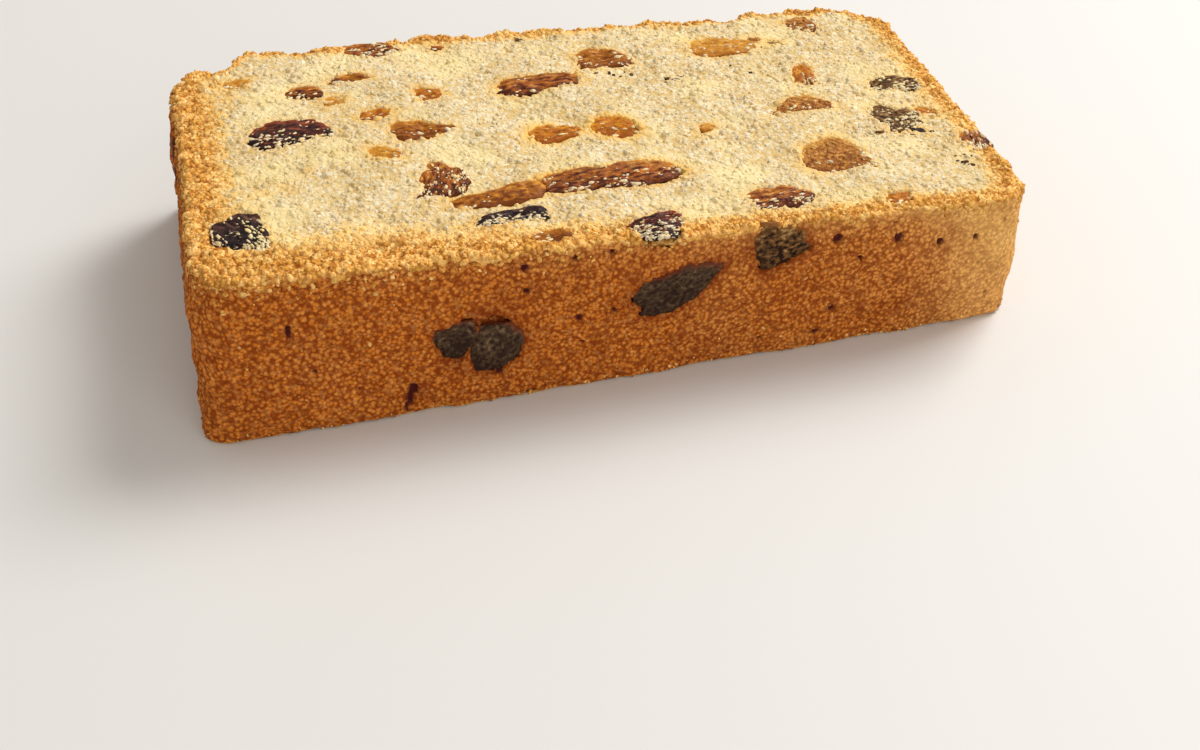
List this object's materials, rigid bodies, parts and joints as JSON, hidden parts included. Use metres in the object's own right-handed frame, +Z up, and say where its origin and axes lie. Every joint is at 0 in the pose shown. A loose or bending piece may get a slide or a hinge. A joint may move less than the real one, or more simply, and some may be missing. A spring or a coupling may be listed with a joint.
{
  "type": "slice of apricot and raisin loaf cake",
  "caption": "Slice of pale loaf cake lying on its cut face, brown crust on its edges, with raisins and bits of dried apricot set in pockets flush with the cut face and crust.",
  "frame": {"origin": "middle of the slice's footprint, on the face that it lies on", "axes": "+X along the slice's width, +Y from the crust of the tin's base to the loaf's top crust, +Z up from the lower cut face to the upper one"},
  "size_m": [0.1002, 0.0544, 0.0213],
  "materials": {
    "cake": "dry, crumbly sponge with a baked brown crust",
    "raisin": "moist, wrinkled raisin skin",
    "apricot": "moist, dull-glossy dried apricot"
  },
  "bodies": {
    "root": {"cake": "cake", "top_raisin_01": "raisin", "top_raisin_02": "raisin", "top_raisin_03": "raisin", "top_raisin_04": "raisin", "top_raisin_05": "raisin", "top_raisin_06": "raisin", "top_raisin_07": "raisin", "top_raisin_08": "raisin", "top_raisin_09": "raisin", "top_raisin_10": "raisin", "top_raisin_11": "raisin", "top_raisin_12": "raisin", "top_raisin_13": "raisin", "top_raisin_14": "raisin", "top_raisin_15": "raisin", "top_raisin_16": "raisin", "top_apricot_01": "apricot", "top_apricot_02": "apricot", "top_apricot_03": "apricot", "top_apricot_04": "apricot", "top_apricot_05": "apricot", "top_apricot_06": "apricot", "top_apricot_07": "apricot", "top_apricot_08": "apricot", "top_apricot_09": "apricot", "top_apricot_10": "apricot", "top_apricot_11": "apricot", "top_apricot_12": "apricot", "front_raisin_01": "raisin", "front_raisin_02": "raisin", "front_raisin_03": "raisin", "front_raisin_04": "raisin", "base_raisin_01": "raisin", "base_raisin_02": "raisin", "base_raisin_03": "raisin", "base_raisin_04": "raisin", "base_raisin_05": "raisin", "base_raisin_06": "raisin", "base_raisin_07": "raisin", "base_apricot_01": "apricot", "base_apricot_02": "apricot", "base_apricot_03": "apricot", "back_raisin_01": "raisin", "back_raisin_02": "raisin", "back_apricot_01": "apricot", "back_apricot_02": "apricot", "left_raisin_01": "raisin", "left_raisin_02": "raisin", "right_raisin_01": "raisin", "right_apricot_01": "apricot"}
  },
  "joints": []
}
